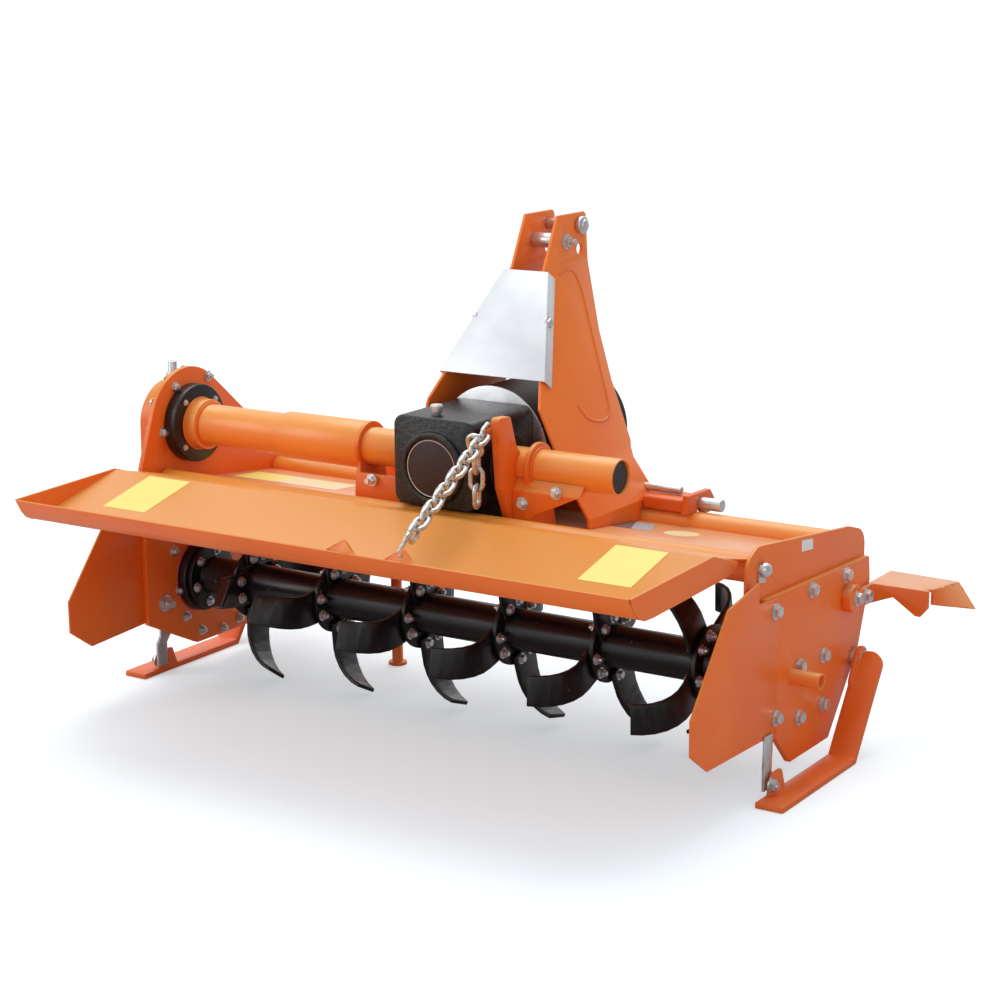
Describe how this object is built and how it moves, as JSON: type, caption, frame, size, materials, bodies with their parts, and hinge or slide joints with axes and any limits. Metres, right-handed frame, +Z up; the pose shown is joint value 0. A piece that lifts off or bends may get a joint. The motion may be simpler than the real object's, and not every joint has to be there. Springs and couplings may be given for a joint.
{
  "type": "rotary tiller",
  "caption": "Three-point linkage rotary tiller with a hoe-tine rotor under a flat hood, a chain-held tailboard, an A-frame mast and a covered drive shaft.",
  "frame": {"origin": "on the ground, at the middle of the machine's overall width and length", "axes": "+X to the right-hand side seen from behind, +Y forwards in the direction of travel, +Z up"},
  "size_m": [1.54, 0.8395, 0.838],
  "materials": {
    "orange_paint": "gloss enamel",
    "gloss_black_paint": "gloss",
    "black_casting": "painted casting",
    "zinc_plate": "zinc plated",
    "black_plastic": "satin"
  },
  "bodies": {
    "frame": {"bearing_plate_right": "orange_paint", "chain_bracket": "orange_paint", "chain_case_cover": "orange_paint", "chain_case_gasket": "black_plastic", "corner_guard_left": "orange_paint", "corner_guard_right": "orange_paint", "drive_bearing_left": "gloss_black_paint", "drive_tube_left": "orange_paint", "drive_tube_right": "orange_paint", "gearbox_breather": "zinc_plate", "gearbox_cover": "black_casting", "gearbox_housing": "black_casting", "guard_bell": "black_plastic", "guard_disc": "zinc_plate", "hinge_pins": "zinc_plate", "hitch_beams": "orange_paint", "hitch_lugs": "orange_paint", "hood_deck": "orange_paint", "hood_front_tube": "orange_paint", "lower_hitch_pins": "zinc_plate", "mast_cover": "zinc_plate", "mast_plate_left": "orange_paint", "mast_plate_right": "orange_paint", "mast_spacer": "zinc_plate", "oil_filler": "zinc_plate", "rotor_bearing_left": "gloss_black_paint", "rotor_bearing_right": "gloss_black_paint", "saddle_left": "orange_paint", "saddle_right": "orange_paint", "side_wall_left": "orange_paint", "side_wall_right": "orange_paint", "skid_left": "orange_paint", "skid_right": "orange_paint", "skid_strap_left": "zinc_plate", "skid_strap_right": "zinc_plate", "skirt_left": "orange_paint", "skirt_right": "orange_paint", "stand_sleeve": "orange_paint", "storage_pin": "zinc_plate", "top_link_pin": "zinc_plate"},
    "rotor": {"rotor_shaft": "gloss_black_paint", "rotor_tines": "gloss_black_paint"},
    "input": {"pto_shaft": "zinc_plate"},
    "tailboard": {"tailboard": "orange_paint"},
    "chain": {"chain": "zinc_plate"},
    "chain_tail": {"chain_tail": "zinc_plate"},
    "stand": {"stand_leg": "orange_paint"}
  },
  "joints": [
    {"name": "rotor_spin", "type": "hinge", "parent": "frame", "child": "rotor", "pos_m": [0, 0.046, 0.172], "axis": [1, 0, 0], "continuous": true},
    {"name": "input_spin", "type": "hinge", "parent": "frame", "child": "input", "pos_m": [0.01, 0.2, 0.458], "axis": [0, 1, 0], "continuous": true},
    {"name": "tailboard_hinge", "type": "hinge", "parent": "frame", "child": "tailboard", "pos_m": [0, -0.046, 0.364], "axis": [1, 0, 0], "range_deg": [0, 55]},
    {"name": "chain_swing", "type": "hinge", "parent": "frame", "child": "chain", "pos_m": [0, -0.042, 0.526], "axis": [1, 0, 0], "range_deg": [0, 27.6]},
    {"name": "tail_swing", "type": "hinge", "parent": "chain", "child": "chain_tail", "pos_m": [0, -0.0759, 0.5165], "axis": [1, 0, 0], "range_deg": [-27.6, 0]},
    {"name": "stand_slide", "type": "slide", "parent": "frame", "child": "stand", "axis": [0, 0, 1], "range_m": [0, 0.12]}
  ],
  "couplings": [
    {"joint": "input_spin", "follows": "rotor_spin", "ratio": 2.5},
    {"joint": "chain_swing", "follows": "tailboard_hinge", "ratio": 0.5},
    {"joint": "tail_swing", "follows": "tailboard_hinge", "ratio": -0.5}
  ]
}
